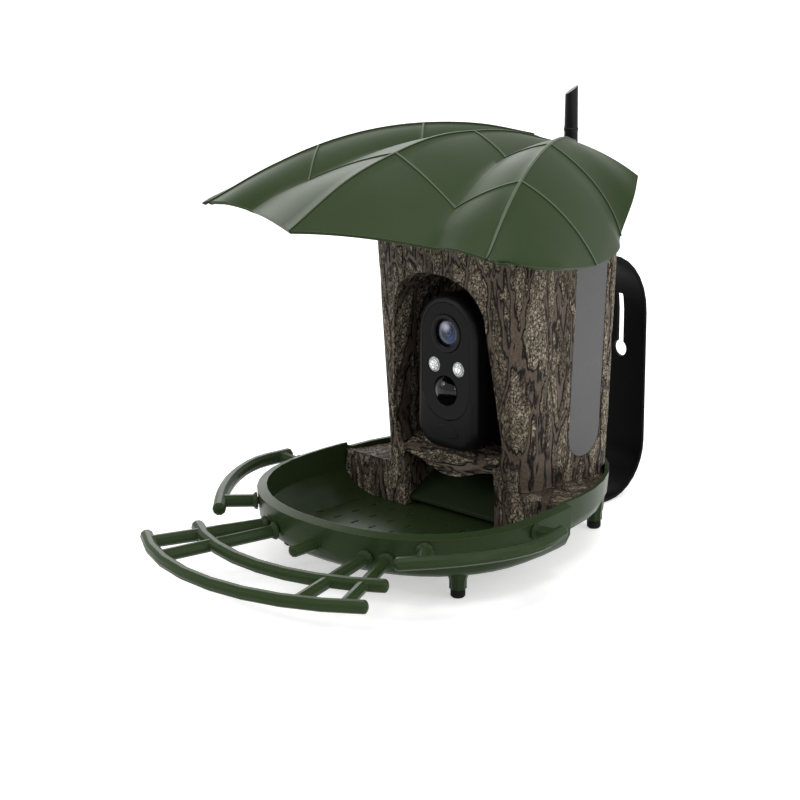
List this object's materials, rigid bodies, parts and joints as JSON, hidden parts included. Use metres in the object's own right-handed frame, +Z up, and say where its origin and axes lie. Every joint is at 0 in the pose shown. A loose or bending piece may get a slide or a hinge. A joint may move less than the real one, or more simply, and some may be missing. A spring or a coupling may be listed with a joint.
{
  "type": "smart bird feeder",
  "caption": "Bark-look seed hopper with a camera in an arched niche, hinged leaf roof, round tray with perches, folding antenna and wall strap.",
  "frame": {"origin": "centre of the bounding box's bottom, on the ground under the feet", "axes": "+Z up, -Y to the front where the camera looks and the perches reach, +X to the right"},
  "size_m": [0.2888, 0.4124, 0.3015],
  "materials": {
    "green": "satin",
    "roof_green": "satin",
    "bark": "bark relief",
    "black": "satin",
    "gloss_black": "gloss",
    "rubber": "matte",
    "steel": "plain",
    "strap": "satin powder coat",
    "pane": "fine frosted",
    "lamp": "diffuse",
    "glass": "coated lens",
    "board": "solder mask",
    "battery": "sleeved"
  },
  "bodies": {
    "feeder": {"tray": "green", "foot_tip_front_left": "rubber", "foot_tip_front_right": "rubber", "foot_tip_rear_left": "rubber", "foot_tip_rear_right": "rubber", "front_perch": "green", "left_perch": "green", "right_perch": "green", "housing": "bark", "skirt": "bark", "niche_liner": "bark", "left_window": "pane", "right_window": "pane", "camera_shelf": "bark", "seed_ramp": "green", "hinge_pin": "steel", "antenna_foot": "black", "antenna_nut": "steel", "wall_strap": "strap", "strap_screw_left": "steel", "strap_screw_right": "steel", "arm_screw_left": "steel", "arm_screw_right": "steel", "base_screw_front_left": "steel", "base_screw_front_right": "steel", "base_screw_rear_left": "steel", "base_screw_rear_right": "steel"},
    "roof": {"leaf_roof": "roof_green"},
    "camera": {"camera_front_shell": "black", "camera_rear_shell": "black", "camera_panel": "gloss_black", "lens_ring": "black", "lens_glass": "glass", "lens_barrel": "black", "lamp_window_left": "lamp", "lamp_window_right": "lamp", "lamp_left": "lamp", "lamp_right": "lamp", "motion_dome": "gloss_black", "motion_element": "steel", "circuit_board": "board", "battery": "battery"},
    "button": {"power_button": "rubber"},
    "cover": {"port_cover": "rubber"},
    "swivel": {"antenna_collar": "black", "antenna_pin": "steel"},
    "stalk": {"antenna_stalk": "black"}
  },
  "joints": [
    {"name": "roof_hinge", "type": "hinge", "parent": "feeder", "child": "roof", "pos_m": [0, 0.12075, 0.2535], "axis": [-1, 0, 0], "range_deg": [0, 70]},
    {"name": "camera_slide", "type": "slide", "parent": "feeder", "child": "camera", "axis": [0, -1, 0], "range_m": [0, 0.06]},
    {"name": "power_button", "type": "slide", "parent": "camera", "child": "button", "axis": [0, -1, 0], "range_m": [0, 0.0008], "stiffness_N_per_m": 500},
    {"name": "port_cover", "type": "hinge", "parent": "camera", "child": "cover", "pos_m": [0, 0.05485, 0.0975], "axis": [-1, 0, 0], "range_deg": [0, 100]},
    {"name": "antenna_swivel", "type": "hinge", "parent": "feeder", "child": "swivel", "pos_m": [0, 0.14415, 0.2265], "axis": [0, 1, 0], "range_deg": [-90, 90]},
    {"name": "antenna_fold", "type": "hinge", "parent": "swivel", "child": "stalk", "pos_m": [0, 0.14415, 0.2265], "axis": [-1, 0, 0], "range_deg": [0, 90]}
  ]
}
